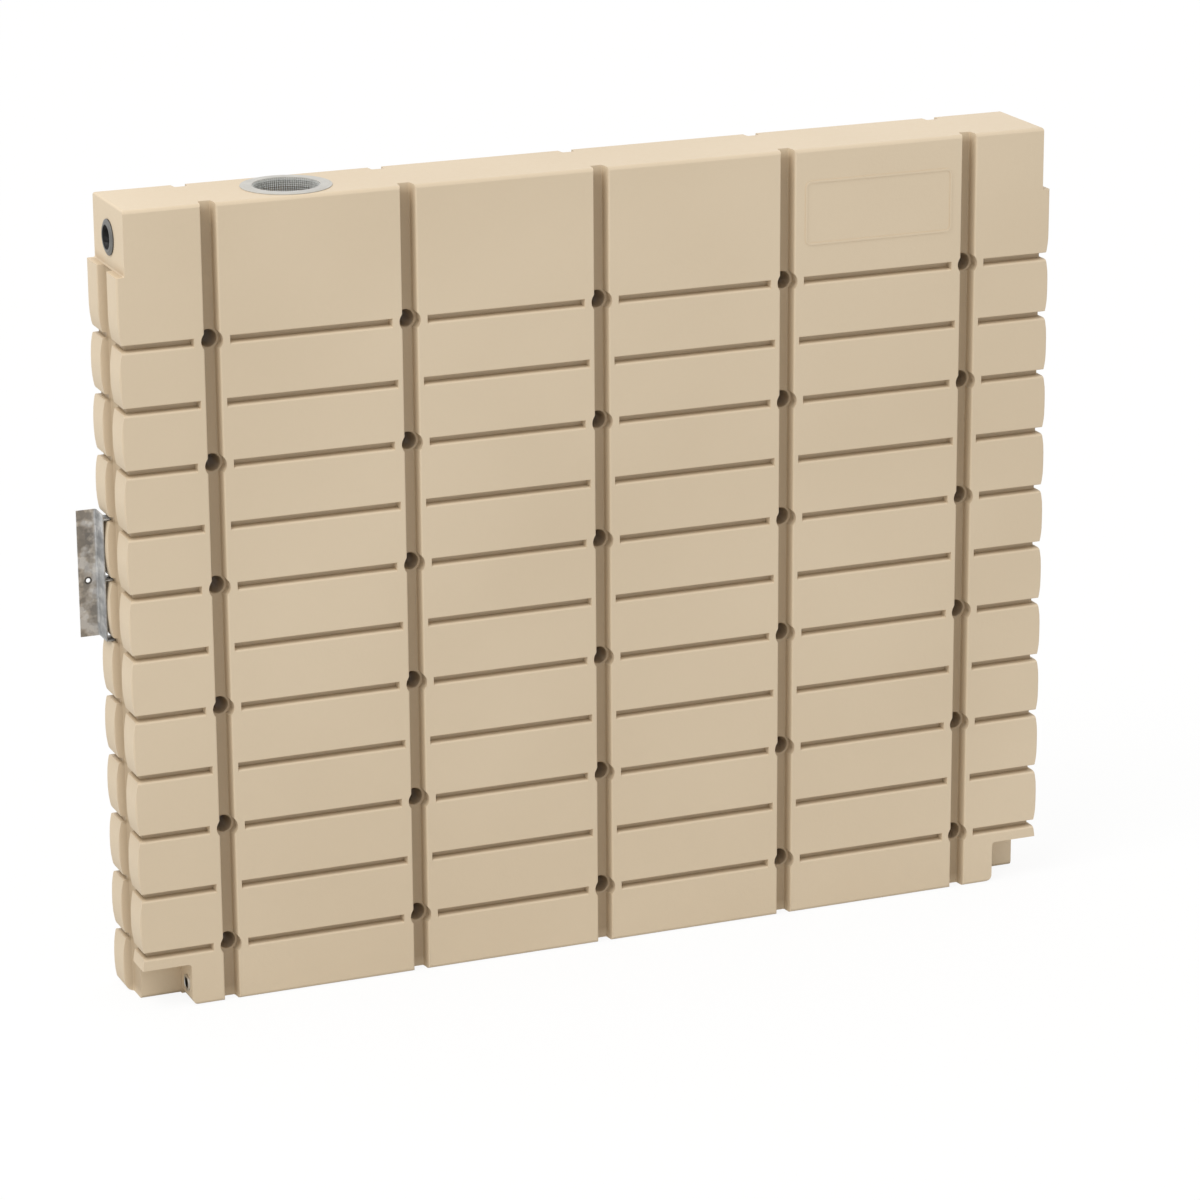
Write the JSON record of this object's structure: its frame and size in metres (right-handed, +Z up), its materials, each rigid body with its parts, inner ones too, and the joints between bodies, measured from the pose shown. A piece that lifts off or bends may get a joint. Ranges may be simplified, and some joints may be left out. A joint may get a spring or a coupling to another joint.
{
  "type": "slimline water tank",
  "caption": "Tall narrow moulded tank that stands against a wall, with ribbed grooved faces, tie tubes, a strainer inlet on top, an overflow, threaded outlets at its feet and wall brackets.",
  "frame": {"origin": "middle of the base, on the surface that the tank stands on", "axes": "+X along the tank to its right end as seen from the front, +Y from the front to the wall side, +Z up"},
  "size_m": [2.525, 0.2415, 1.983],
  "materials": {
    "shell": "moulded beige polyethylene with a soft satin skin",
    "strainer_plastic": "light grey moulded plastic",
    "strainer_mesh": "fine woven steel wire",
    "fitting_plastic": "grey moulded plastic",
    "gasket_rubber": "black rubber",
    "insert_metal": "turned metal, dull",
    "galvanised_steel": "hot dip galvanised sheet with a zinc spangle"
  },
  "bodies": {
    "root": {"tank_shell": "shell", "strainer_ring": "strainer_plastic", "strainer_basket": "strainer_mesh", "overflow_flange": "fitting_plastic", "overflow_gasket": "gasket_rubber", "overflow_nut": "fitting_plastic", "outlet_insert_left": "insert_metal", "outlet_insert_right": "insert_metal", "wall_bracket_left": "galvanised_steel", "wall_bracket_right": "galvanised_steel"}
  },
  "joints": []
}
